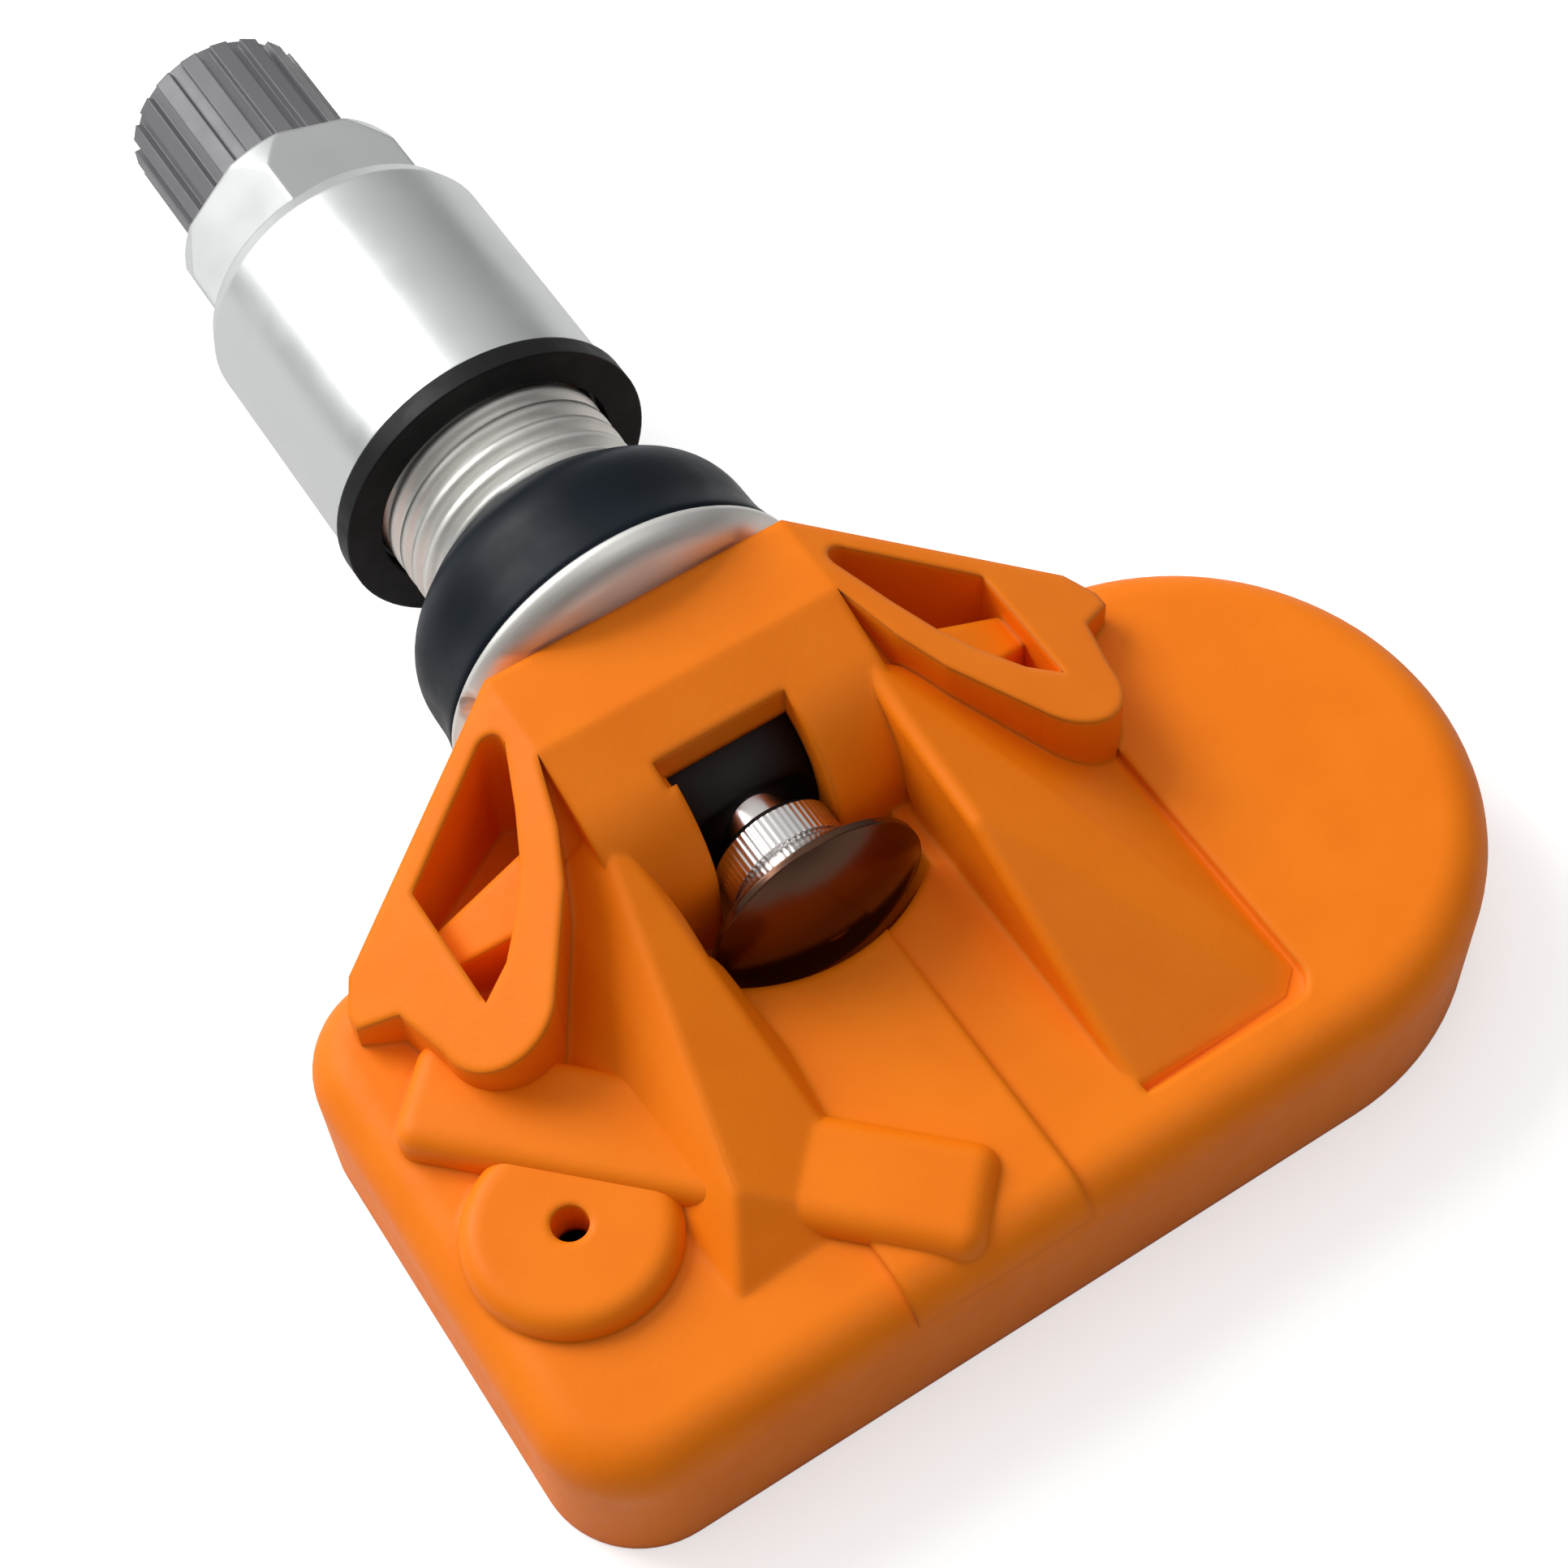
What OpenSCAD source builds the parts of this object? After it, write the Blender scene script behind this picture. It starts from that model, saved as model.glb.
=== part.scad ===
// Wheel-mounted tyre pressure sensor with a clamp-in metal valve.
// X runs along the housing toward its round end, Y runs along the valve
// toward its cap, Z points up. The origin lies on the flat underside,
// straight below the middle of the axis that the valve tilts about.

/* [Housing body] */
// Distance from the valve's plane to the square end
body_left = 20.4; // [19.5:0.1:22]
// Distance from the valve's plane to the centre of the round end
cell_x = 15.4; // [15:0.1:17]
// Distance from the bracket's front to the centre of the round end
cell_back = 16.8; // [16:0.1:18]
// Radius of the round end
end_r = 12.4; // [12:0.1:13.5]
// Height of the body
body_h = 7.5; // [7.2:0.1:9]
// Radius of the two square-end corners in plan
corner_r = 4.2; // [4.2:0.1:6]
// Radius of the body's top edge
edge_r = 2.0; // [1.2:0.1:2]
// Thickness of the side walls
wall = 1.6; // [1.4:0.1:1.9]
// Thickness of the roof
roof = 1.2; // [0.9:0.1:1.5]

/* [Bracket] */
// Width of the flat hood over the valve's foot
hood_w = 13.9; // [13.2:0.1:15]
// Depth of the flat hood from front to back
hood_d = 4.1; // [3.6:0.1:4.6]
// Height of the hood's top over the underside
hood_z = 14.6; // [14.2:0.1:15.5]
// Outer radius of the curved wall behind the valve's foot
wall_r = 5.1; // [4.9:0.05:5.3]
// Slope of the wall's upper part behind the hood, in degrees
wall_slope = 20; // [16:1:24]
// Width of the slot for the screw
slot_w = 5.7; // [5.6:0.1:6.4]
// Distance from the hood's front to the slot's upper end
slot_top = 6.5; // [6:0.1:7]
// Fall of the wings for each millimetre outward
wing_fall = 0.52; // [0.45:0.01:0.56]
// Reach of the wings from the valve's plane
wing_reach = 17.9; // [17:0.1:18.2]
// Rise of the centre panel over the body's top
panel_rise = 0.35; // [0.2:0.05:0.6]

/* [Covers over the inner parts] */
// Length of the bar over the wake-up coil
bar_l = 23; // [21:0.1:24]
// Width of the bar over the wake-up coil
bar_w = 4.8; // [4.4:0.1:5]
// Rise of the bar and the round boss over the body's top
bar_rise = 1.1; // [0.8:0.1:1.6]
// Radius of the round boss around the pressure port
boss_r = 4.3; // [4:0.1:4.8]
// Diameter of the pressure port
port_d = 1.5; // [1:0.1:2]

/* [Valve] */
// Height of the valve's axis over the underside
valve_z = 8.8; // [8.8:0.1:9.4]
// Distance from the hood's front back to the tilt axis
pivot_back = 5.2; // [5:0.1:5.5]
// Largest tilt of the valve toward the underside, in degrees
tilt_max = 25; // [10:1:28]
// Radius of the foot that rolls in the bracket
foot_r = 3.5; // [3.4:0.05:3.6]
// Width of the foot
foot_w = 10.6; // [10:0.1:11]
// Diameter of the collar behind the rubber grommet
collar_d = 17; // [16:0.1:17.6]
// Thickness of the collar
collar_t = 1.3; // [1.2:0.1:1.6]
// Diameter of the thread for the collar nut
thread_d = 10.9; // [10.6:0.1:11]
// Length of the thread for the collar nut
thread_l = 12.4; // [11:0.1:13]
// Diameter of the stem between the threads
stem_d = 8; // [7.8:0.1:8.2]
// Diameter of the cap thread
cap_thread_d = 7.7; // [7.6:0.05:7.8]
// Distance from the collar's front to the tip of the stem
stem_l = 35.6; // [35:0.1:36]

/* [Grommet and nut] */
// Diameter of the grommet where it fills the rim hole
neck_d = 11.5; // [11.3:0.1:11.7]
// Length of the grommet
grommet_l = 6.4; // [6:0.1:7]
// Distance that the grommet's flange stands out over the collar
flange_over = 0.1; // [0:0.05:0.3]
// Thickness of the flange at its rim
flange_t = 2.3; // [1.8:0.1:2.4]
// Thickness of the nut's washer
washer_t = 1; // [0.8:0.1:1.4]
// Outside diameter of the nut's washer
washer_d = 14.6; // [14.2:0.1:15]
// Distance that the nut is backed off from the grommet
nut_gap = 4.5; // [4:0.1:4.8]
// Outside diameter of the nut's skirt
skirt_d = 14; // [13.8:0.1:14.6]
// Length of the nut's skirt
skirt_l = 13.2; // [12.6:0.1:14]
// Width across the nut's flats
hex_af = 11; // [10.6:0.1:12]
// Length of the nut's hexagon
hex_l = 4.2; // [4:0.1:5]
// Diameter of the cap over its ribs
cap_d = 8.9; // [8.8:0.1:9.4]
// Length of the cap
cap_l = 8; // [7.6:0.1:8.4]
// Number of ribs around the cap
cap_ribs = 18; // [12:1:24]

/* [Retaining screw] */
// Diameter of the screw's thread
screw_d = 3.5; // [3:0.1:3.8]
// Diameter of the knurled collar that runs in the slot
knurl_d = 5.4; // [5:0.1:5.5]
// Length of the knurled collar
knurl_l = 2; // [1.6:0.1:2.2]
// Length of the flare from the knurled collar out to the head's rim
flare_l = 1.5; // [1.2:0.1:1.8]
// Diameter of the domed head
head_d = 9.7; // [9:0.1:10]
// Distance from the rear wall back to the screw's flare
head_gap = 1.1; // [0.8:0.1:1.3]

/* [Inner parts] */
// Diameter of the button cell
cell_d = 20; // [18:0.5:20]
// Thickness of the button cell
cell_t = 3.2; // [2.5:0.1:3.3]
// Thickness of the circuit board
board_t = 0.8; // [0.6:0.1:1]
// Thickness of the base cover
cover_t = 1.2; // [1:0.1:1.3]
// Diameter of the wake-up coil's winding
coil_d = 3.2; // [2.8:0.1:3.4]
// Length of the wake-up coil's winding
coil_l = 9; // [8:0.1:10]
// Side of the square pressure sensor
chip_w = 4; // [3.6:0.1:4]
// Height of the pressure sensor
chip_h = 1.6; // [1.2:0.1:1.9]

/* [Hidden] */
$fn = 72;

// Colours of the materials
orange = "#f07814";
alloy = "#d8dadb";
rubber = "#1b2026";
cap_grey = "#66686a";
steel = "#9a9a9c";
brass = "#b99a4b";

// Small margin by which a cut runs past a face
over = 1;
// Clearance between sliding or turning pieces
slack = 0.06;
// Clearance around pieces that lie in the housing
play = 0.3;

// Places along Y
front_y = pivot_back;
cell_y = front_y - cell_back;
rear_y = cell_y - end_r;
body_front = cell_y + end_r;
body_d = 2 * end_r;
pivot_y = front_y - pivot_back;
flange_d = collar_d + 2 * flange_over;
hood_back = front_y - hood_d;
wall_y = pivot_y - wall_r;
collar_back = front_y + 0.15;
collar_front = collar_back + collar_t;
grommet_end = collar_front + grommet_l;
washer_y = grommet_end + nut_gap;
skirt_y = washer_y + washer_t;
hex_y = skirt_y + skirt_l;
nut_end = hex_y + hex_l;
stem_end = collar_front + stem_l;
cap_y = nut_end + 0.15;

// Places along Z
roof_z = body_h - roof;
board_z = cover_t + play;
part_z = board_z + board_t;
tab_t = 0.2;
cell_z = part_z + tab_t;

// Bay in the body that stays solid around the valve's foot
bay_w = 13.8;
bay_back = pivot_y - 6.3;
trough_r = head_d / 2 + 0.6;
head_y = wall_y - head_gap - flare_l;
head_dome = 1.4;
head_sphere = 9;

// Bar over the coil and the round boss
bar_angle = -45;
bar_x = -9.4;
bar_y = cell_y - 2.2;
port_x = -15.1;
port_y = cell_y - 2.4;

// Right-hand wing in plan; the left-hand one mirrors it
lobe_r = 2.4;
wing_inner = hood_w / 2;
lobe_x = wing_reach - 2.2 - lobe_r;
lobe_y = front_y - 11.1;
wing_nose_y = front_y - 7;
pocket_floor = valve_z - 2;
block_drop = 1.3;

// Gives a profile that was drawn in Y and Z a width along X
module across(width) {
    rotate([90, 0, 90]) linear_extrude(width, center = true) children();
}

// Puts a shape that was drawn along Z onto the valve's axis
module on_valve(y) {
    translate([0, y, valve_z]) rotate([-90, 0, 0]) children();
}

module ring(outer, inner, length) {
    difference() {
        cylinder(d = outer, h = length);
        translate([0, 0, -over]) cylinder(d = inner, h = length + 2 * over);
    }
}

// Outline of the body in plan, moved inward by a distance
module plan(inset) {
    left = -body_left;
    translate([left + inset, rear_y + corner_r])
        square([cell_x - left - inset, body_d - 2 * corner_r]);
    translate([left + corner_r, rear_y + inset])
        square([cell_x - left - corner_r, body_d - 2 * inset]);
    for (y = [rear_y + corner_r, body_front - corner_r])
        translate([left + corner_r, y]) circle(corner_r - inset);
    translate([cell_x, cell_y]) circle(end_r - inset);
}

// Half of a section through the body, with a rounded top edge
module soft_edge(width) {
    square([width, body_h - edge_r]);
    square([width - edge_r, body_h]);
    translate([width - edge_r, body_h - edge_r]) circle(edge_r);
}

// Body with a rounded top edge
module soft_body() {
    left = corner_r - body_left;
    translate([cell_x, cell_y, 0]) rotate([0, 0, -90])
        rotate_extrude(angle = 180) soft_edge(end_r);
    translate([left, cell_y, 0]) rotate([90, 0, 90]) linear_extrude(cell_x - left) {
        soft_edge(end_r);
        mirror([1, 0]) soft_edge(end_r);
    }
    translate([left, body_front - corner_r, 0]) {
        rotate([0, 0, 90]) rotate_extrude(angle = 90) soft_edge(corner_r);
        rotate([90, 0, 0]) linear_extrude(body_d - 2 * corner_r)
            mirror([1, 0]) soft_edge(corner_r);
    }
    translate([left, rear_y + corner_r, 0]) rotate([0, 0, 180])
        rotate_extrude(angle = 90) soft_edge(corner_r);
}

// Space for the inner parts in plan, moved inward from the body's outline
module well(inset) {
    half = bay_w / 2 + inset - wall;
    difference() {
        plan(inset);
        translate([-half, bay_back - inset + wall]) square([2 * half, body_d]);
    }
}

// Front of the bracket, eased so that the valve's collar can tilt
function front_at(angle) = [pivot_y + pivot_back * cos(angle),
    valve_z - pivot_back * sin(angle)];

module bracket_profile() {
    eased = front_at(tilt_max);
    polygon([[front_y, hood_z], [hood_back, hood_z],
        [pivot_y - wall_r * sin(wall_slope), valve_z + wall_r * cos(wall_slope)],
        [pivot_y, valve_z], [wall_y, valve_z], [wall_y, 0],
        [eased[0] - eased[1] * tan(tilt_max), 0], eased, [front_y, valve_z]]);
    translate([pivot_y, valve_z]) circle(wall_r);
}

// Space in front of the bracket that the tilting collar needs
module collar_space() {
    eased = front_at(tilt_max);
    polygon([[front_y, hood_z + over], [front_y, valve_z], eased,
        [eased[0] - (eased[1] + over) * tan(tilt_max), -over],
        [collar_front + collar_d, -over], [collar_front + collar_d, hood_z + over]]);
}

module wing_plan() {
    translate([lobe_x, lobe_y]) circle(lobe_r);
    polygon([[wing_inner - over, front_y], [wing_inner, front_y],
        [wing_reach - 0.8, wing_nose_y + 1.3], [wing_reach, wing_nose_y],
        [wing_reach, wing_nose_y - 0.7], [wing_reach - 1.6, wing_nose_y - 1.5],
        [lobe_x + lobe_r, lobe_y], [lobe_x, lobe_y],
        [lobe_x - 0.87 * lobe_r, lobe_y - 0.5 * lobe_r],
        [wing_inner + 1.9, lobe_y + 1.9], [wing_inner + 0.9, lobe_y + 4],
        [wing_inner, hood_back], [wing_inner - over, hood_back]]);
}

// Teardrop opening in a wing
module pocket_plan() {
    end_r = 0.6;
    edge_x = lobe_x + 0.2;
    translate([wing_inner + 1.3, front_y - 2.5]) circle(end_r, $fn = 32);
    polygon([[wing_inner + 1.6, front_y - 2], [edge_x, wing_nose_y + 2.1],
        [edge_x, lobe_y + 0.4], [edge_x - 1.4, lobe_y + 1.1],
        [edge_x - 2.8, lobe_y + 2.5], [edge_x - 3.8, lobe_y + 3.9],
        [wing_inner + 1.8, lobe_y + 5.8], [wing_inner + 0.7, front_y - 2.7]]);
}

// Lit block on the floor of the opening
module pocket_block() {
    edge_x = lobe_x + 0.2;
    polygon([[wing_inner, front_y - 6.2], [edge_x + 1, front_y - 6.3],
        [edge_x + 1, front_y - 7.7], [wing_inner + 2, front_y - 9.4]]);
}

module wing_slope(lift) {
    far = 22;
    translate([0, body_d / 2, 0]) rotate([90, 0, 0]) linear_extrude(2 * body_d)
        polygon([[0, 0], [0, hood_z + lift], [wing_inner, hood_z + lift],
            [far, hood_z + lift - (far - wing_inner) * wing_fall], [far, 0]]);
}

module wing() {
    difference() {
        intersection() {
            linear_extrude(hood_z) wing_plan();
            wing_slope(0);
        }
        translate([0, 0, pocket_floor]) linear_extrude(hood_z) pocket_plan();
    }
    intersection() {
        linear_extrude(hood_z) intersection() {
            pocket_plan();
            pocket_block();
        }
        wing_slope(-block_drop);
    }
}

// Sloping gusset, blended between small balls
module gusset(points) {
    ball = 0.5;
    hull() for (p = points) translate(p) sphere(ball, $fn = 16);
}

foot_z = body_h - 0.8;

module left_gusset() {
    gusset([[-6.2, hood_back - 3.4, 12.4], [-5.7, wall_y, 10.9],
        [-6.8, cell_y + 0.7, 9.6], [-9.3, cell_y - 5, 9],
        [-11.2, rear_y + 4.3, foot_z + 0.2], [-4.9, rear_y + 4.3, foot_z],
        [-4.3, cell_y - 2.9, foot_z], [-5.2, wall_y - 1.8, foot_z],
        [-11.8, cell_y + 3, foot_z], [-11.4, wall_y + 2.4, foot_z],
        [-8.6, hood_back - 3.4, 10.4]]);
}

module right_gusset() {
    gusset([[6.5, hood_back - 3.4, 12.9], [6.5, wall_y, 12.3],
        [6.5, cell_y + 1.9, 11.6], [6.5, rear_y + 3.6, foot_z + 0.3],
        [13.4, rear_y + 3.6, foot_z], [14.2, rear_y + 4.3, foot_z],
        [14.2, cell_y + 4.5, foot_z], [12, wall_y + 2.4, foot_z],
        [8.8, hood_back - 3.4, 10.6],
        [6.5, wall_y - 1.6, foot_z]]);
}

// Short rib from the hood's rear corner down to the gusset
module corner_rib() {
    low = hood_back - 3.8;
    gusset([[6.7, hood_back + 0.1, 13.6], [6.1, low, 11.6], [6.1, low, foot_z],
        [6.3, hood_back, foot_z], [8.4, low, 10], [7.4, hood_back, 12.6]]);
}

// Bar with rounded ends, a rounded top and a length along X
module soft_bar(length, width, height, round_r) {
    straight = length / 2 - round_r;
    side = width / 2 - round_r;
    translate([-straight, -width / 2, 0]) cube([2 * straight, width, height - round_r]);
    translate([-length / 2, -side, 0]) cube([length, 2 * side, height - round_r]);
    translate([-straight, -side, 0]) cube([2 * straight, 2 * side, height]);
    for (x = [-straight, straight], y = [-side, side]) translate([x, y, 0]) {
        cylinder(r = round_r, h = height - round_r, $fn = 32);
        translate([0, 0, height - round_r]) sphere(round_r, $fn = 32);
    }
    for (y = [-side, side]) translate([-straight, y, height - round_r])
        rotate([0, 90, 0]) cylinder(r = round_r, h = 2 * straight, $fn = 32);
    for (x = [-straight, straight]) translate([x, -side, height - round_r])
        rotate([-90, 0, 0]) cylinder(r = round_r, h = 2 * side, $fn = 32);
}

module port_boss() {
    round_r = 0.9;
    top = bar_rise + roof / 2;
    rotate_extrude() {
        square([boss_r, top - round_r]);
        square([boss_r - round_r, top]);
        translate([boss_r - round_r, top - round_r]) circle(round_r, $fn = 32);
    }
}

module centre_panel() {
    left = -6;
    right = 2;
    intersection() {
        translate([0, 0, panel_rise]) soft_body();
        translate([left, rear_y, roof_z])
            cube([right - left, wall_y - rear_y, roof + panel_rise + over]);
    }
}

module ramp_recess() {
    depth = 0.45;
    round_r = 1.2;
    left = 6.4;
    right = 14.7;
    back = rear_y + 2.8;
    translate([0, 0, body_h - depth]) linear_extrude(depth + over) {
        translate([left, back + round_r]) square([right - left, cell_back - 1]);
        translate([left, back]) square([right - left - round_r, cell_back]);
        translate([right - round_r, back + round_r]) circle(round_r, $fn = 32);
    }
}

module foot_space() {
    cavity_r = foot_r + slack;
    width = foot_w + play;
    translate([0, pivot_y, valve_z]) rotate([0, 90, 0])
        cylinder(r = cavity_r, h = width, center = true);
    translate([-width / 2, pivot_y, valve_z - cavity_r - pivot_back * sin(tilt_max) - over])
        cube([width, pivot_back + over, 2 * cavity_r + pivot_back * sin(tilt_max) + over]);
}

module screw_slot() {
    notch = 0.4;
    end_y = front_y - slot_top;
    low = valve_z - slot_w / 2;
    translate([-slot_w / 2, wall_y - over, low])
        cube([slot_w, end_y - wall_y + over, hood_z]);
    translate([-slot_w / 2 - notch, end_y - 1.1, valve_z + wall_r - 1.4])
        cube([slot_w / 2 + notch, 1.1, hood_z]);
}

module housing() color(orange) {
    difference() {
        union() {
            difference() {
                soft_body();
                ramp_recess();
            }
            across(hood_w) bracket_profile();
            wing();
            mirror([1, 0, 0]) wing();
            left_gusset();
            right_gusset();
            corner_rib();
            mirror([1, 0, 0]) corner_rib();
            centre_panel();
            translate([bar_x, bar_y, body_h - roof / 2]) rotate([0, 0, bar_angle])
                soft_bar(bar_l, bar_w, bar_rise + roof / 2, 1);
            translate([port_x, port_y, body_h - roof / 2]) port_boss();
        }
        across(collar_d + 2 * over) collar_space();
        foot_space();
        screw_slot();
        trough(0);
        inner_space();
        translate([port_x, port_y, 0]) cylinder(d = port_d, h = body_h + 2 * bar_rise);
    }
}

// Hollow for the board, the cell and the parts on the board
module inner_space() {
    shelf = 0.8;
    translate([0, 0, -over]) linear_extrude(over + cover_t) well(wall - shelf);
    difference() {
        linear_extrude(roof_z) well(wall);
        trough(0.8);
    }
}

// Cap of a sphere, cut to a height and a rim
module head_cap(height, rim_r, sphere_r) {
    intersection() {
        cylinder(r = rim_r, h = height);
        translate([0, 0, height - sphere_r]) sphere(sphere_r);
    }
}

// Recess around the screw's head, or its shell when it is grown by a thickness
module trough(grown) {
    side_r = trough_r + grown;
    back = head_y - 0.5;
    dome_r = head_sphere - 1;
    on_valve(back) cylinder(r = side_r, h = wall_y - back);
    on_valve(back) rotate([180, 0, 0])
        head_cap(head_dome + 0.5 + grown, side_r, dome_r);
}

module base_cover() color(orange)
    linear_extrude(cover_t) well(wall - 0.8 + 0.1);

module circuit_board() color("#2c6b3c")
    translate([0, 0, board_z]) linear_extrude(board_t) well(wall + play);

module battery_cell() color(steel) translate([cell_x, cell_y, cell_z]) {
    lip = 0.5;
    cylinder(d = cell_d - 2 * lip, h = cell_t);
    translate([0, 0, lip]) cylinder(d = cell_d, h = cell_t - lip);
}

// Contact strips that are welded to the cell and soldered to the board
module tab_strip() {
    width = 3.4;
    cylinder(d = 6, h = tab_t);
    translate([-cell_d / 2 - 1.2, -width / 2, 0])
        cube([cell_d / 2 + 1.2, width, tab_t]);
}

module positive_tab() color(alloy)
    translate([cell_x, cell_y, cell_z + cell_t]) rotate([0, 0, 35]) {
        tab_strip();
        translate([-cell_d / 2 - 1.2, -1.7, part_z - cell_z - cell_t])
            cube([tab_t, 3.4, cell_t + 2 * tab_t]);
    }

module negative_tab() color(alloy)
    translate([cell_x, cell_y, part_z]) rotate([0, 0, 15]) tab_strip();

module pressure_sensor() color("#2a2a2c")
    translate([port_x, port_y, part_z]) rotate([0, 0, bar_angle]) difference() {
        translate([-chip_w / 2, -chip_w / 2, 0]) cube([chip_w, chip_w, chip_h]);
        translate([0, 0, chip_h / 2]) cylinder(d = port_d / 2, h = chip_h);
    }

module port_seal() color(rubber)
    translate([port_x, port_y, part_z + chip_h])
        ring(port_d + 1.6, port_d, roof_z - part_z - chip_h);

module controller_chip() color("#202022") {
    side = 5;
    height = 0.9;
    translate([-4, rear_y + wall + 1.8, part_z]) cube([side, side, height]);
}

module crystal() color(alloy)
    translate([wall + 0.8 - body_left, rear_y + 3.6, part_z]) soft_bar_plain(3.2, 2.5, 0.8);

module soft_bar_plain(length, width, height) {
    round_r = 0.5;
    for (x = [round_r, length - round_r], y = [round_r, width - round_r])
        translate([x, y, 0]) cylinder(r = round_r, h = height, $fn = 24);
    translate([round_r, 0, 0]) cube([length - 2 * round_r, width, height]);
    translate([0, round_r, 0]) cube([length, width - 2 * round_r, height]);
}

module coil_place() {
    translate([bar_x, bar_y, part_z + coil_d / 2]) rotate([0, 0, bar_angle])
        rotate([0, 90, 0]) children();
}

core_w = 1.8;
core_l = 12.6;

module wake_up_coil() color("#a8562a") coil_place() difference() {
    cylinder(d = coil_d, h = coil_l, center = true);
    cube([core_w, core_w, coil_l + 2 * over], center = true);
}

module coil_core() color("#3a3a3c") coil_place() {
    cube([core_w, core_w, core_l], center = true);
    for (side = [-1, 1]) translate([0, 0, side * (core_l + coil_l) / 4])
        cube([coil_d, coil_d, (core_l - coil_l) / 2], center = true);
}

// Strip that stands on two legs along the rear edge of the board
module transmit_antenna() color(alloy) {
    strip = 0.6;
    length = 11;
    height = 2.6;
    translate([wall + 6 - body_left, rear_y + wall + 0.9, part_z]) {
        cube([strip, strip, height]);
        translate([length - strip, 0, 0]) cube([strip, strip, height]);
        translate([0, 0, height - strip]) cube([length, strip, strip]);
    }
}

module capacitors() color("#b9a789") {
    length = 1.6;
    side = 0.8;
    for (place = [[1.6, 20.4], [1.6, 18.8], [18, 2.6], [12.2, 4.6]])
        translate([wall + place[0] - body_left, rear_y + place[1], part_z])
            cube([length, side, side]);
}

// Metal valve: foot, collar, nut thread, stem and cap thread in one turned piece
bore_r = 1.6;
core_seat = 12;
core_bore_r = 2.3;
groove_r = 4.6;
pin_hole_d = 0.8;
pin_hole_angle = 155;

module stem_solid() {
    neck_r = 3;
    chamfer = collar_t - 0.4;
    core_r = stem_d / 2;
    tip = cap_thread_d / 2;
    thread_start = grommet_end + 0.1;
    intersection() {
        translate([0, pivot_y, valve_z]) rotate([0, 90, 0])
            cylinder(r = foot_r, h = foot_w, center = true);
        on_valve(pivot_y - foot_r - over) cylinder(d = foot_w, h = 2 * foot_r + 2 * over);
    }
    on_valve(pivot_y) rotate_extrude() polygon([[0, 0], [neck_r, 0],
        [neck_r, collar_back - pivot_y], [collar_d / 2 - chamfer, collar_back - pivot_y],
        [collar_d / 2, collar_back - pivot_y + chamfer],
        [collar_d / 2, collar_front - pivot_y - 0.2],
        [collar_d / 2 - 0.2, collar_front - pivot_y],
        [groove_r, collar_front - pivot_y], [groove_r, thread_start - pivot_y],
        [thread_d / 2 - 0.4, thread_start - pivot_y],
        [thread_d / 2, thread_start - pivot_y + 0.4],
        [thread_d / 2, thread_start - pivot_y + thread_l - 0.5],
        [core_r, thread_start - pivot_y + thread_l],
        [core_r, nut_end - pivot_y], [tip, nut_end - pivot_y + 0.1],
        [tip, stem_end - pivot_y - 0.5], [tip - 0.5, stem_end - pivot_y],
        [0, stem_end - pivot_y]]);
}

module valve_stem() color(alloy) difference() {
    stem_solid();
    on_valve(pivot_y + foot_r) cylinder(r = bore_r, h = stem_end - pivot_y);
    on_valve(stem_end - core_seat) cylinder(r = core_bore_r, h = core_seat + over);
    on_valve(wall_y) cylinder(d = screw_d, h = pivot_y - wall_y + 0.6);
    // Hole in the collar, which a pin holds while the nut is turned
    translate([0, collar_back + collar_t / 2, valve_z]) rotate([0, 90 - pin_hole_angle, 0])
        cylinder(d = pin_hole_d, h = collar_d, $fn = 24);
}

// Spring-loaded valve core in the mouth of the stem
core_top = stem_end - 1.2;
core_body_l = 6;
shoulder_t = 1;
pin_r = 0.5;
pin_head_r = 1.1;
pin_head_t = 0.6;
pin_head_drop = 0.4;
pin_travel = 1;
spring_space_r = pin_head_r + slack;

module core_body() color(brass) on_valve(core_top - core_body_l) difference() {
    cylinder(r = core_bore_r, h = core_body_l);
    translate([0, 0, -over]) cylinder(r = pin_r + slack, h = core_body_l);
    translate([0, 0, shoulder_t]) cylinder(r = spring_space_r, h = core_body_l);
    for (side = [0, 180]) rotate([0, 0, side])
        translate([spring_space_r - 0.1, -2, core_body_l - 1.2]) cube([2, 4, 2]);
}

module core_pin() color(brass) on_valve(core_top - core_body_l) {
    cup_t = 1;
    cup_r = 1.5;
    pin_out = 0.8;
    translate([0, 0, -cup_t]) cylinder(r = cup_r, h = cup_t - slack);
    translate([0, 0, -cup_t]) cylinder(r = pin_r, h = core_body_l + cup_t + pin_out);
    translate([0, 0, core_body_l - pin_head_drop - pin_head_t])
        cylinder(r = pin_head_r, h = pin_head_t);
}

module core_spring() color(steel) on_valve(core_top - core_body_l + shoulder_t + slack)
    ring(2 * pin_head_r - 0.1, 2 * pin_r + 0.3,
        core_body_l - shoulder_t - pin_head_drop - pin_head_t - pin_travel - 2 * slack);

module core_seal() color(rubber) on_valve(stem_end - core_seat)
    ring(2 * core_bore_r, 2.9, 1.4);

module stem_grommet() color(rubber) on_valve(collar_front) difference() {
    rotate_extrude() polygon([[0, 0], [flange_d / 2 - 0.3, 0], [flange_d / 2, 0.3],
        [flange_d / 2, flange_t - 0.5], [flange_d / 2 - 0.5, flange_t],
        [neck_d / 2 + 1.4, flange_t + 0.5], [neck_d / 2 + 0.4, flange_t + 0.8],
        [neck_d / 2, flange_t + 1.2], [neck_d / 2, grommet_l - 0.4],
        [neck_d / 2 - 0.4, grommet_l], [0, grommet_l]]);
    translate([0, 0, -over]) cylinder(r = groove_r + 0.01, h = grommet_l + 2 * over);
}

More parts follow.
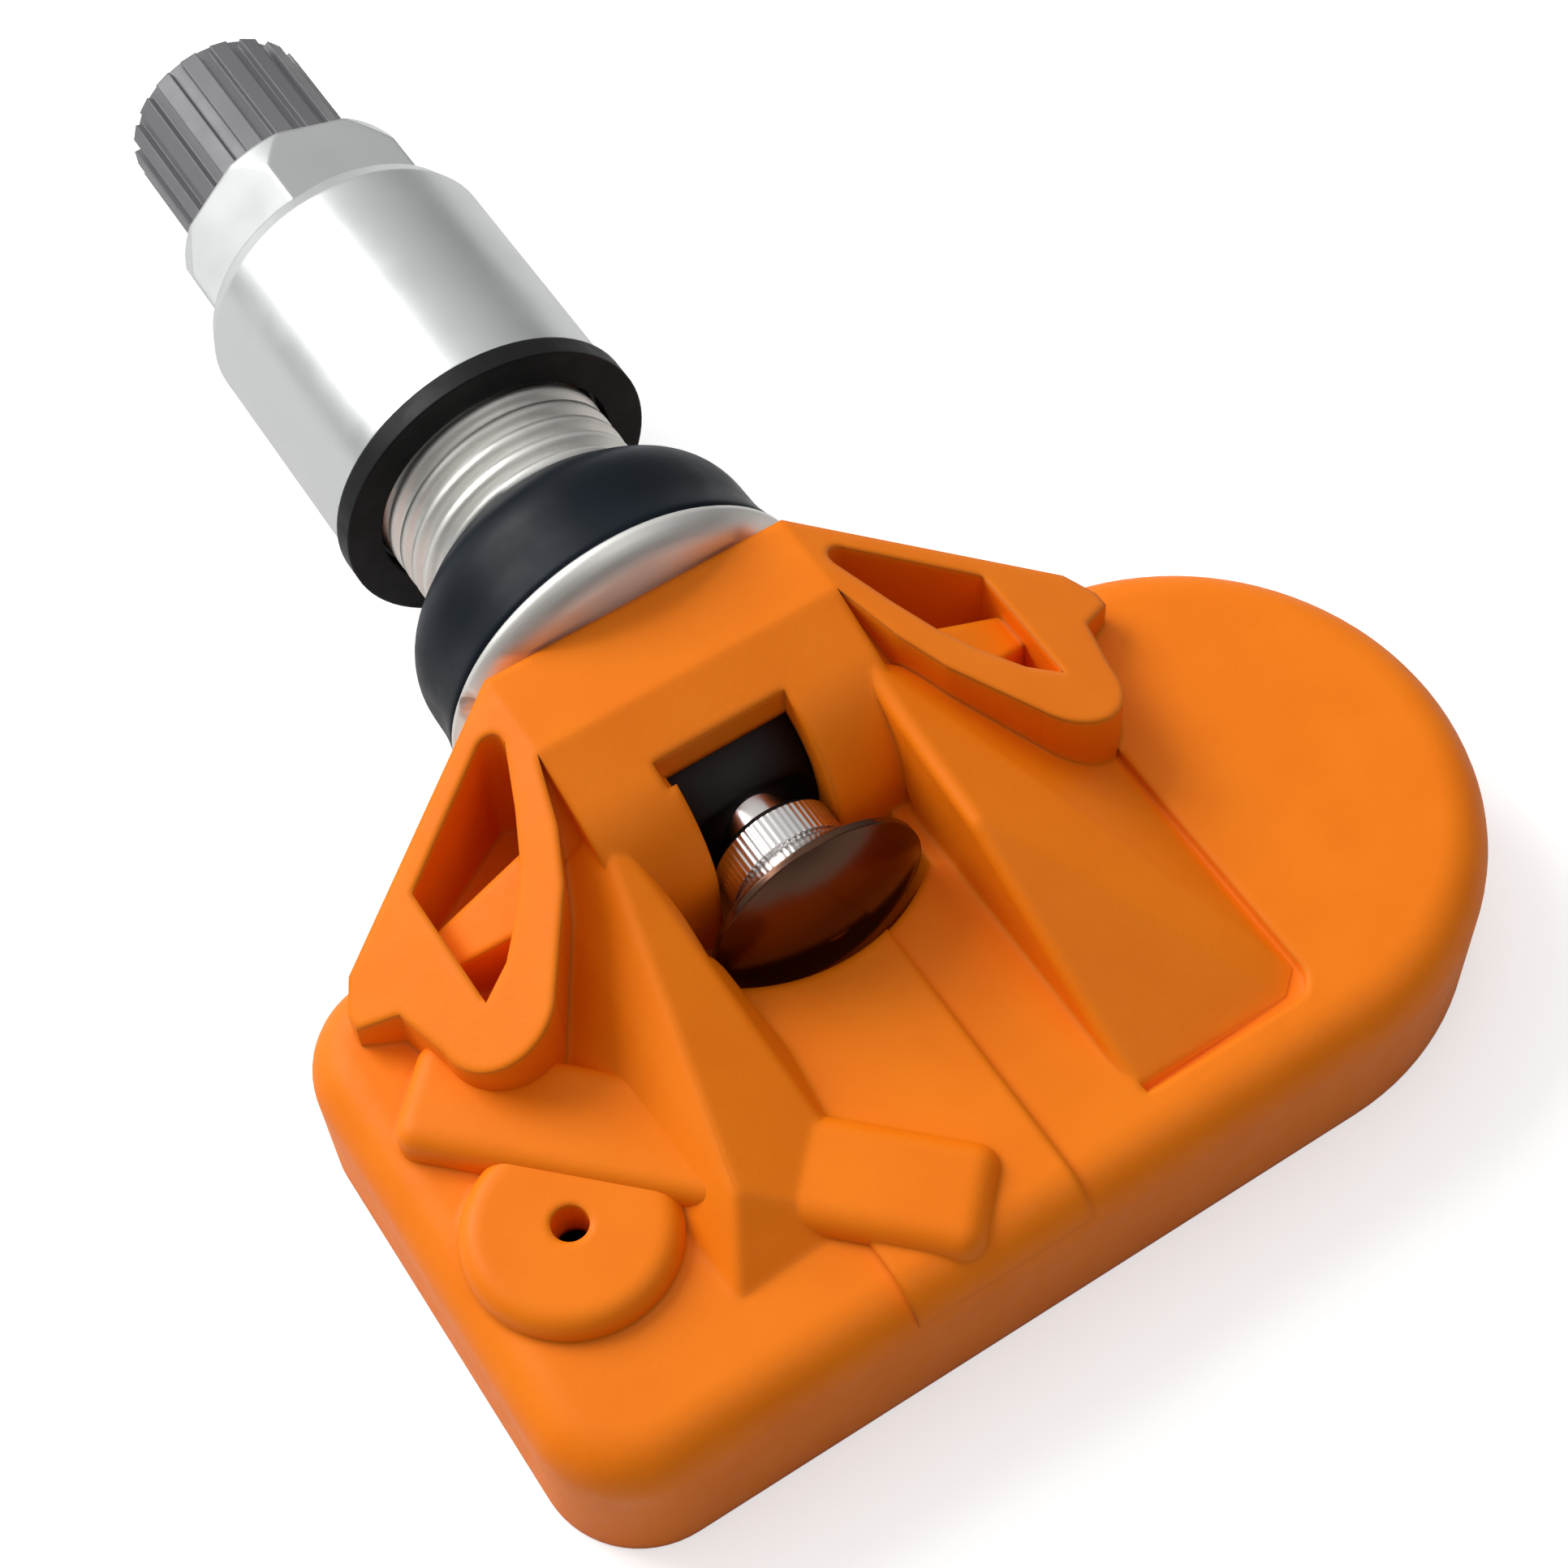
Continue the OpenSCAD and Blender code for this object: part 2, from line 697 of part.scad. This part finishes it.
module nut_washer() color(rubber) on_valve(washer_y)
    ring(washer_d, thread_d + 2 * slack + 0.3, washer_t);

module collar_nut() color(alloy) on_valve(skirt_y) difference() {
    union() {
        rotate_extrude() polygon([[0, 0], [skirt_d / 2 - 0.2, 0], [skirt_d / 2, 0.2],
            [skirt_d / 2, skirt_l - 1.2], [skirt_d / 2 - 0.35, skirt_l - 0.35],
            [skirt_d / 2 - 1.2, skirt_l], [0, skirt_l]]);
        intersection() {
            rotate([0, 0, 17]) cylinder(d = hex_af / cos(30), h = skirt_l + hex_l, $fn = 6);
            cylinder(r1 = hex_af, r2 = hex_af / 2 + 0.25, h = skirt_l + hex_l);
        }
    }
    translate([0, 0, -over]) cylinder(d = thread_d + 2 * slack, h = skirt_l + over - 0.8);
    translate([0, 0, skirt_l - over]) cylinder(d = stem_d + 2 * slack, h = hex_l + 2 * over);
}

cap_seal_t = 0.8;
cap_bore = cap_thread_d + 2 * slack;
cap_inner_end = stem_end + 0.1 + cap_seal_t;

module cap_seal() color(rubber) on_valve(stem_end + 0.05)
    ring(cap_bore - 2 * slack, 3.2, cap_seal_t);

module valve_cap() color(cap_grey) on_valve(cap_y) difference() {
    groove = 0.35;
    rib_w = 0.84;
    union() {
        cylinder(d = cap_d - 2 * groove, h = cap_l);
        for (rib = [0 : cap_ribs - 1]) rotate([0, 0, rib * 360 / cap_ribs])
            translate([0, -rib_w / 2, 0]) cube([cap_d / 2, rib_w, cap_l - 0.3]);
    }
    translate([0, 0, -over]) cylinder(d = cap_bore, h = cap_inner_end - cap_y + over);
}

// Screw that clamps the valve's foot to the bracket
module retaining_screw() color(steel) {
    rim = 0.3;
    groove = 0.2;
    chamfer = 0.35;
    start = flare_l + rim;
    on_valve(head_y - rim) rotate_extrude() {
        polygon([[0, 0], [head_d / 2, 0], [head_d / 2, rim], [knurl_d / 2, start],
            [knurl_d / 2 - groove, start], [knurl_d / 2 - groove, start + groove],
            [knurl_d / 2, start + groove], [knurl_d / 2, start + knurl_l - chamfer],
            [knurl_d / 2 - chamfer, start + knurl_l], [screw_d / 2, start + knurl_l],
            [screw_d / 2, pivot_y - head_y + rim], [0, pivot_y - head_y + rim]]);
    }
    on_valve(head_y - rim) rotate([180, 0, 0]) head_cap(head_dome, head_d / 2, head_sphere);
}

housing();
base_cover();
circuit_board();
battery_cell();
positive_tab();
negative_tab();
pressure_sensor();
port_seal();
controller_chip();
crystal();
wake_up_coil();
coil_core();
transmit_antenna();
capacitors();
valve_stem();
core_body();
core_pin();
core_spring();
core_seal();
stem_grommet();
nut_washer();
collar_nut();
cap_seal();
valve_cap();
retaining_screw();
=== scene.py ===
import math

import bmesh
import bpy
from mathutils import Matrix, Vector


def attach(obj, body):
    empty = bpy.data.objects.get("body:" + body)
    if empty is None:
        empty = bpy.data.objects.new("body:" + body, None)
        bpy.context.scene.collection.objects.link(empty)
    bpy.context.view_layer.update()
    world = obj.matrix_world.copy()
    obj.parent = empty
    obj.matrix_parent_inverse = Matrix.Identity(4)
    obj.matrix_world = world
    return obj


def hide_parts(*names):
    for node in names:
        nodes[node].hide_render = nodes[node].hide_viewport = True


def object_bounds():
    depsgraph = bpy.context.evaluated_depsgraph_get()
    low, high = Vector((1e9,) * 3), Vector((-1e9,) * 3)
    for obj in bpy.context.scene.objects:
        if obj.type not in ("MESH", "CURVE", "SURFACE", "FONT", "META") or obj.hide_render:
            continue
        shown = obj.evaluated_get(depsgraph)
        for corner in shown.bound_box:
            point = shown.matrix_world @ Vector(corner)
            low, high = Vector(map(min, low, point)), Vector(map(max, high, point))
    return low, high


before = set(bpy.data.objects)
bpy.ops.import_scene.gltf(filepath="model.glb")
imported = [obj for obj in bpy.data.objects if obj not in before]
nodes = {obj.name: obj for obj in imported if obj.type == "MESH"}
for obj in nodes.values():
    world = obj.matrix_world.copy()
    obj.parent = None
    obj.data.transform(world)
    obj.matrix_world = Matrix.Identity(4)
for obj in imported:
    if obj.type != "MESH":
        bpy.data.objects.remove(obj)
start_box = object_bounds()
MM = 0.001
AXIS_Z = 8.8  # height of the valve's axis, mm
NODE_SHARP = math.radians(28)
PIECE_SHARP = math.radians(40)


def linear(value):
    return value / 12.92 if value <= 0.04045 else ((value + 0.055) / 1.055) ** 2.4


def rgb(red, green, blue):
    return (linear(red / 255), linear(green / 255), linear(blue / 255), 1.0)


def linked(name, data):
    """A new object of that data in the scene."""
    item = bpy.data.objects.new(name, data)
    bpy.context.scene.collection.objects.link(item)
    return item


# Materials

FADE = 0.1  # mm over which the flutes end
PAINTED_DARK_FADE = 0.3  # mm on either side of the line where the painted shade and painted reflection begin
FLUTES = (-6.2, -4.2)  # y of the screw's fluted collar, mm
BEVEL_SAMPLES = 8


def calc(tree, operation, first, second=0.0):
    node = tree.nodes.new("ShaderNodeMath")
    node.operation = operation
    for socket, value in zip(node.inputs, (first, second)):
        if isinstance(value, float):
            socket.default_value = value
        else:
            tree.links.new(value, socket)
    return node.outputs[0]


def noise(tree, coords, scale, detail=3.0):
    node = tree.nodes.new("ShaderNodeTexNoise")
    node.inputs["Scale"].default_value = scale
    node.inputs["Detail"].default_value = detail
    tree.links.new(coords, node.inputs["Vector"])
    return node.outputs["Fac"]


def spread(tree, value, low, high, source=(0.0, 1.0)):
    node = tree.nodes.new("ShaderNodeMapRange")
    node.inputs["From Min"].default_value = source[0]
    node.inputs["From Max"].default_value = source[1]
    node.inputs["To Min"].default_value = low
    node.inputs["To Max"].default_value = high
    tree.links.new(value, node.inputs["Value"])
    return node.outputs["Result"]


def blend_colors(tree, factor, first, second):
    node = tree.nodes.new("ShaderNodeMix")
    node.data_type = "RGBA"
    tree.links.new(factor, node.inputs["Factor"])
    for socket, value in ((node.inputs["A"], first), (node.inputs["B"], second)):
        if isinstance(value, tuple):
            socket.default_value = value
        else:
            tree.links.new(value, socket)
    return node.outputs["Result"]


def separate(tree, coords):
    node = tree.nodes.new("ShaderNodeSeparateXYZ")
    tree.links.new(coords, node.inputs[0])
    return node.outputs


def turned_lines(tree, coords, pitch):
    """Fine lathe lines round the valve's axis, with a pitch in millimetres."""
    along = separate(tree, coords)["Y"]
    turns = calc(tree, "MULTIPLY", along, 2.0 * math.pi / (pitch * MM))
    return spread(tree, calc(tree, "SINE", turns), 0.0, 1.0, (-1.0, 1.0))


def knurl_lines(tree, coords, count):
    """Straight flutes round the screw's collar, only between the two FLUTES."""
    axes = separate(tree, coords)
    height = calc(tree, "SUBTRACT", axes["Z"], AXIS_Z * MM)
    angle = calc(tree, "ARCTAN2", height, axes["X"])
    turns = calc(tree, "SINE", calc(tree, "MULTIPLY", angle, float(count)))
    low, high = FLUTES
    below_high = spread(tree, axes["Y"], 1.0, 0.0, ((high - FADE) * MM, high * MM))
    above_low = spread(tree, axes["Y"], 0.0, 1.0, (low * MM, (low + FADE) * MM))
    return calc(tree, "MULTIPLY", turns, calc(tree, "MULTIPLY", below_high, above_low))


def material(name, color, rough=0.5, metal=0.0, spec=0.5, tint=None, mottling=None,
             grain=None, rounding=None, relief=None, painted_shade_and_reflection=None):
    """A principled material.

    tint is (scale, second colour), mottling is (scale, amount) of the roughness, grain is
    (scale, strength, depth in mm), rounding is the radius of the softened edges in mm,
    relief is (function, its number, depth in mm), and the last argument is (colour, y in mm),
    a dark colour painted over the part of a piece that lies at a smaller y: the painted shade
    on the valve's foot and the painted reflection on the screw's dome."""
    mat = bpy.data.materials.new(name)
    mat.use_nodes = True
    tree = mat.node_tree
    shader = tree.nodes["Principled BSDF"]
    shader.inputs["Base Color"].default_value = color
    shader.inputs["Roughness"].default_value = rough
    shader.inputs["Metallic"].default_value = metal
    shader.inputs["Specular IOR Level"].default_value = spec
    coords = tree.nodes.new("ShaderNodeTexCoord").outputs["Object"]
    base = color
    if tint:
        base = blend_colors(tree, spread(tree, noise(tree, coords, tint[0]), 0.0, 1.0,
                                         (0.35, 0.65)), color, tint[1])
    # Painted shade and painted reflection: a dark colour over the part of the piece below a
    # given y
    if painted_shade_and_reflection:
        front = spread(tree, separate(tree, coords)["Y"], 0.0, 1.0,
                       ((painted_shade_and_reflection[1] - PAINTED_DARK_FADE) * MM, (painted_shade_and_reflection[1] + PAINTED_DARK_FADE) * MM))
        base = blend_colors(tree, front, painted_shade_and_reflection[0], base)
    if tint or painted_shade_and_reflection:
        tree.links.new(base, shader.inputs["Base Color"])
    if mottling:
        value = spread(tree, noise(tree, coords, mottling[0], 2.0),
                       rough - mottling[1], rough + mottling[1], (0.3, 0.7))
        tree.links.new(value, shader.inputs["Roughness"])
    normal = None
    if rounding:
        node = tree.nodes.new("ShaderNodeBevel")
        node.samples = BEVEL_SAMPLES
        node.inputs["Radius"].default_value = rounding * MM
        normal = node.outputs["Normal"]
    heights = []
    if grain:
        heights.append((noise(tree, coords, grain[0]), grain[1], grain[2]))
    if relief:
        heights.append((relief[0](tree, coords, relief[1]), 1.0, relief[2]))
    for height, strength, depth in heights:
        node = tree.nodes.new("ShaderNodeBump")
        node.inputs["Strength"].default_value = strength
        node.inputs["Distance"].default_value = depth * MM
        tree.links.new(height, node.inputs["Height"])
        if normal:
            tree.links.new(normal, node.inputs["Normal"])
        normal = node.outputs["Normal"]
    if normal:
        tree.links.new(normal, shader.inputs["Normal"])
    return mat


orange = material("orange", rgb(240, 121, 5), rough=0.5, spec=0.18,
                  tint=(260.0, rgb(244, 126, 9)), mottling=(900.0, 0.05),
                  grain=(4200.0, 0.25, 0.03), rounding=0.55)
board = material("board", rgb(34, 92, 52), rough=0.4, tint=(400.0, rgb(28, 84, 46)))
cell_steel = material("cell_steel", rgb(190, 190, 192), rough=0.3, metal=1.0,
                      mottling=(300.0, 0.05))
tab_nickel = material("tab_nickel", rgb(200, 198, 192), rough=0.28, metal=1.0,
                      mottling=(500.0, 0.05))
chip_black = material("chip_black", rgb(32, 32, 34), rough=0.6, grain=(9000.0, 0.2, 0.02))
seal_rubber = material("seal_rubber", rgb(13, 14, 16), rough=0.5, spec=0.2,
                       mottling=(700.0, 0.08), grain=(2500.0, 0.2, 0.03), rounding=0.15)
grommet_rubber = material("grommet_rubber", rgb(10, 18, 26), rough=0.42, spec=0.13,
                          tint=(200.0, rgb(14, 23, 32)), mottling=(500.0, 0.07),
                          grain=(1200.0, 0.15, 0.04), rounding=0.5)
can_metal = material("can_metal", rgb(200, 200, 200), rough=0.25, metal=1.0,
                     mottling=(400.0, 0.04))
winding = material("winding", rgb(168, 84, 40), rough=0.35, metal=0.6,
                   tint=(900.0, rgb(140, 62, 28)))
ferrite = material("ferrite", rgb(60, 60, 62), rough=0.7, grain=(5000.0, 0.3, 0.03))
ceramic = material("ceramic", rgb(170, 142, 108), rough=0.5, tint=(900.0, rgb(150, 122, 90)))
# The valve stem's foot, below y 4.6 mm inside the housing's seat, is painted near black:
# painted shade
alloy = material("alloy", rgb(236, 235, 231), rough=0.5, metal=1.0,
                 tint=(140.0, rgb(228, 226, 220)), mottling=(350.0, 0.05), rounding=0.5,
                 relief=(turned_lines, 0.22, 0.0012), painted_shade_and_reflection=(rgb(44, 40, 40), 4.6))
nut_alloy = material("nut_alloy", rgb(214, 216, 216), rough=0.34, metal=1.0,
                     mottling=(300.0, 0.05), grain=(1500.0, 0.12, 0.02), rounding=0.25,
                     relief=(turned_lines, 0.3, 0.0008))
brass = material("brass", rgb(206, 168, 92), rough=0.3, metal=1.0, mottling=(600.0, 0.05))
spring_steel = material("spring_steel", rgb(170, 170, 172), rough=0.3, metal=1.0,
                        mottling=(600.0, 0.05))
cap_plastic = material("cap_plastic", rgb(104, 104, 107), rough=0.42, spec=0.45,
                       mottling=(700.0, 0.05), grain=(3500.0, 0.2, 0.03), rounding=0.12)
# The screw's dome, below y -7.3 mm, is painted brownish dark: a painted reflection of the
# shaded orange housing around it
screw_steel = material("screw_steel", rgb(214, 211, 209), rough=0.2, metal=1.0,
                       mottling=(400.0, 0.04), rounding=0.1,
                       relief=(knurl_lines, 60, 0.008), painted_shade_and_reflection=(rgb(92, 66, 52), -7.3))

looks = {
    "housing": orange, "base_cover": orange, "circuit_board": board,
    "battery_cell": cell_steel, "positive_tab": tab_nickel, "negative_tab": tab_nickel,
    "transmit_antenna": tab_nickel, "pressure_sensor": chip_black,
    "controller_chip": chip_black, "port_seal": seal_rubber, "crystal": can_metal,
    "wake_up_coil": winding, "coil_core": ferrite, "capacitors": ceramic,
    "valve_stem": alloy, "collar_nut": nut_alloy, "core_body": brass, "core_pin": brass,
    "core_spring": spring_steel, "core_seal": seal_rubber,
    "stem_grommet": grommet_rubber, "nut_washer": seal_rubber, "cap_seal": seal_rubber,
    "valve_cap": cap_plastic, "retaining_screw": screw_steel,
}
for name, mat in looks.items():
    mesh = nodes[name].data
    mesh.materials.clear()
    mesh.materials.append(mat)
    mesh.shade_smooth()
    mesh.set_sharp_from_angle(angle=NODE_SHARP)


# Meshes round the valve's axis

def round_axis(radius, angle, y):
    """The point in metres at a radius and angle round the valve's axis, from millimetres."""
    return (radius * math.cos(angle) * MM, y * MM,
            (AXIS_Z + radius * math.sin(angle)) * MM)


def closed_mesh(name, verts, faces):
    """A mesh whose faces all look outward."""
    mesh = bpy.data.meshes.new(name)
    mesh.from_pydata(verts, [], faces)
    work = bmesh.new()
    work.from_mesh(mesh)
    bmesh.ops.recalc_face_normals(work, faces=work.faces)
    work.to_mesh(mesh)
    work.free()
    return mesh


def mesh_of(name, work):
    mesh = bpy.data.meshes.new(name)
    work.to_mesh(mesh)
    work.free()
    return mesh


def finished(name, mesh, mat):
    mesh.materials.append(mat)
    mesh.shade_smooth()
    mesh.set_sharp_from_angle(angle=PIECE_SHARP)
    return linked(name, mesh)


# Screw threads, cut into the stem's plain thread cylinders

THREAD_STEPS = 48  # points to a turn
THREAD_REACH = 0.2  # mm by which the tool stands out of the cylinder
THREAD_HALF = 0.49  # half of the groove's width, as a share of the pitch


def thread_cutter(name, radius, depth, pitch, start, end):
    """A helical V-shaped tool round the valve's axis, all lengths in millimetres."""
    count = int((end - start) / pitch * THREAD_STEPS)
    outside = radius + THREAD_REACH
    half = pitch * THREAD_HALF
    verts, faces = [], []
    for i in range(count + 1):
        angle = -2.0 * math.pi * i / THREAD_STEPS
        y = start + pitch * i / THREAD_STEPS
        for r, offset in ((outside, -half), (radius - depth, 0.0), (outside, half)):
            verts.append(round_axis(r, angle, y + offset))
        if i:
            a, b = 3 * (i - 1), 3 * i
            for j in range(3):
                k = (j + 1) % 3
                faces.append((a + j, a + k, b + k, b + j))
    last = 3 * count
    faces.append((2, 1, 0))
    faces.append((last, last + 1, last + 2))
    tool = linked(name, closed_mesh(name, verts, faces))
    tool.hide_render = True
    tool.hide_viewport = True
    return tool


def cut(node, tool):
    """Takes the tool's form out of the node, and moves the tool with it in every pose."""
    tool.parent = nodes[node]
    modifier = nodes[node].modifiers.new(tool.name, "BOOLEAN")
    modifier.operation = "DIFFERENCE"
    modifier.solver = "EXACT"
    modifier.object = tool


cut("valve_stem", thread_cutter("nut_thread", radius=5.45, depth=0.5, pitch=1.0,
                                start=13.2, end=25.2))
cut("valve_stem", thread_cutter("cap_thread", radius=3.85, depth=0.35, pitch=0.794,
                                start=36.7, end=41.2))

# Grommet: a thick soft flange whose round shoulder runs down to the thread

LATHE_STEPS = 128
CORNER_STEPS = 8
GROMMET_OUTLINE = [  # y, radius and softness of each corner, mm
    (6.65, 4.65, 0), (6.65, 8.4, 0.22), (8.0, 8.1, 0.6), (10.9, 8.05, 1.4),
    (12.8, 6.05, 0.35), (13.05, 5.6, 0.1), (13.05, 4.65, 0),
]


def softened(outline):
    """The outline's (y, radius, softness) corners, each turned into a short curve."""
    points = []
    for i, (y, radius, soft) in enumerate(outline):
        corner = Vector((y, radius))
        if not soft:
            points.append(corner)
            continue
        before = Vector(outline[i - 1][:2]) - corner
        after = Vector(outline[(i + 1) % len(outline)][:2]) - corner
        start = corner + before.normalized() * soft
        end = corner + after.normalized() * soft
        for step in range(CORNER_STEPS + 1):
            t = step / CORNER_STEPS
            points.append(start * (1 - t) ** 2 + corner * 2 * t * (1 - t) + end * t ** 2)
    return points


def lathe(name, outline, mat):
    """A ring round the valve's axis from a closed outline in millimetres."""
    points = softened(outline)
    count = len(points)
    verts, faces = [], []
    for i in range(LATHE_STEPS):
        angle = 2.0 * math.pi * i / LATHE_STEPS
        for y, radius in points:
            verts.append(round_axis(radius, angle, y))
        here, there = i * count, (i + 1) % LATHE_STEPS * count
        for j in range(count):
            k = (j + 1) % count
            faces.append((here + j, there + j, there + k, here + k))
    return finished(name, closed_mesh(name, verts, faces), mat)


grommet = lathe("grommet", GROMMET_OUTLINE, grommet_rubber)
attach(grommet, "valve")
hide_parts("stem_grommet")

# Cover over the wake-up coil, which stands a little above the boss beside it

COVER_PLACE = (-12.766, -10.434, 8.07)  # middle of the cover, mm
COVER_TURN = -45  # degrees
RIM_SHARE = 0.8  # radius of the upper rim, as a share of the corners' radius


def rounded_block(name, length, width, height, round_r, mat):
    """A block with round corners and a round upper rim, all lengths in millimetres."""
    work = bmesh.new()
    bmesh.ops.create_cube(work, size=1.0)
    bmesh.ops.scale(work, vec=Vector((length, width, height)) * MM, verts=work.verts)
    upright = [e for e in work.edges if abs(e.verts[0].co.z - e.verts[1].co.z) > MM / 10]
    bmesh.ops.bevel(work, geom=upright, offset=round_r * MM, segments=6, profile=0.5,
                    affect="EDGES")
    work.normal_update()
    rim = [e for e in work.edges
           if len(e.link_faces) == 2 and max(f.normal.z for f in e.link_faces) > 0.9
           and abs(min(f.normal.z for f in e.link_faces)) < 0.1]
    bmesh.ops.bevel(work, geom=rim, offset=round_r * RIM_SHARE * MM, segments=5,
                    profile=0.5, affect="EDGES")
    return finished(name, mesh_of(name, work), mat)


coil_cover = rounded_block("coil_cover", length=13.52, width=4.84, height=1.7,
                           round_r=1.0, mat=orange)
coil_cover.location = Vector(COVER_PLACE) * MM
coil_cover.rotation_euler.z = math.radians(COVER_TURN)
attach(coil_cover, "housing")

# Camera of the photo, fitted to the housing's edges

SENSOR_WIDTH = 36.0  # mm
LENS = 71.46  # mm
CAMERA_PLACE = (-30.706, -60.604, 115.942)  # mm
CAMERA_RIGHT = (0.84023, -0.5409, -0.03795)
CAMERA_UP = (0.47645, 0.70306, 0.52793)
CAMERA_BACK = (-0.25887, -0.46166, 0.84844)

camera_data = bpy.data.cameras.new("camera")
camera_data.sensor_width = SENSOR_WIDTH
camera_data.lens = LENS
camera_data.clip_start = 0.005
camera_data.clip_end = 10.0
camera = linked("camera", camera_data)
turn = Matrix((CAMERA_RIGHT, CAMERA_UP, CAMERA_BACK)).transposed()
camera.matrix_world = Matrix.Translation(Vector(CAMERA_PLACE) * MM) @ turn.to_4x4()
bpy.context.scene.camera = camera

# Floor, which glows to white where the camera sees it and keeps the shadow

FLOOR_REACH = 1.5  # m from the middle to each side
FLOOR_DROP = 0.0001  # m below the part
FLOOR_GREY = 0.75
FLOOR_GLOW = 0.5

work = bmesh.new()
bmesh.ops.create_grid(work, x_segments=1, y_segments=1, size=FLOOR_REACH)
floor_mesh = mesh_of("floor", work)
floor = linked("floor", floor_mesh)
floor.location.z = start_box[0][2] - FLOOR_DROP
floor_look = material("floor", (FLOOR_GREY, FLOOR_GREY, FLOOR_GREY, 1.0), rough=1.0, spec=0.0)
floor_tree = floor_look.node_tree
rays = floor_tree.nodes.new("ShaderNodeLightPath").outputs
seen = calc(floor_tree, "MAXIMUM", rays["Is Camera Ray"], rays["Is Transmission Ray"])
shader = floor_tree.nodes["Principled BSDF"]
shader.inputs["Emission Color"].default_value = (1.0, 1.0, 1.0, 1.0)
floor_tree.links.new(calc(floor_tree, "MULTIPLY", seen, FLOOR_GLOW),
                     shader.inputs["Emission Strength"])
floor_mesh.materials.append(floor_look)

# Two soft lamps, both aimed at a point just above the floor

LAMP_AIM = (0.0, 0.0, 0.006)  # m
LAMP_DISTANCE = 0.5  # m


def area_light(name, direction, size, power):
    """A square lamp in that direction from the aim, size in metres and power in watts."""
    data = bpy.data.lights.new(name, "AREA")
    data.shape = "SQUARE"
    data.size = size
    data.energy = power
    lamp = linked(name, data)
    toward = Vector(direction).normalized()
    lamp.location = Vector(LAMP_AIM) + toward * LAMP_DISTANCE
    lamp.rotation_euler = toward.to_track_quat("Z", "Y").to_euler()


area_light("key", (-0.35, 0.7, 0.6), size=0.3, power=2.1)
area_light("fill", (0.25, -0.45, 0.86), size=0.2, power=0.2)

# World, brightest above and toward +Y, and white where the camera sees it

SKY_TOWARD = (-0.12, 0.5, 0.85)
SKY_RANGE = (-0.3, 1.0)  # cosine to SKY_TOWARD at which the sky is dim and bright
SKY_CURVE = 1.4
SKY_DIM = 0.03
SKY_BRIGHT = 0.85

world = bpy.data.worlds.new("world")
bpy.context.scene.world = world
world.use_nodes = True
sky_tree = world.node_tree
background = sky_tree.nodes["Background"]
background.inputs["Color"].default_value = (1.0, 1.0, 1.0, 1.0)
outward = sky_tree.nodes.new("ShaderNodeTexCoord").outputs["Generated"]
dot = sky_tree.nodes.new("ShaderNodeVectorMath")
dot.operation = "DOT_PRODUCT"
dot.inputs[1].default_value = Vector(SKY_TOWARD).normalized()
sky_tree.links.new(outward, dot.inputs[0])
lit = spread(sky_tree, dot.outputs["Value"], 0.0, 1.0, SKY_RANGE)
sky = spread(sky_tree, calc(sky_tree, "POWER", lit, SKY_CURVE), SKY_DIM, SKY_BRIGHT)
straight = sky_tree.nodes.new("ShaderNodeLightPath").outputs["Is Camera Ray"]
sky_tree.links.new(calc(sky_tree, "MAXIMUM", sky, straight), background.inputs["Strength"])
bpy.context.scene.view_settings.view_transform = "Standard"
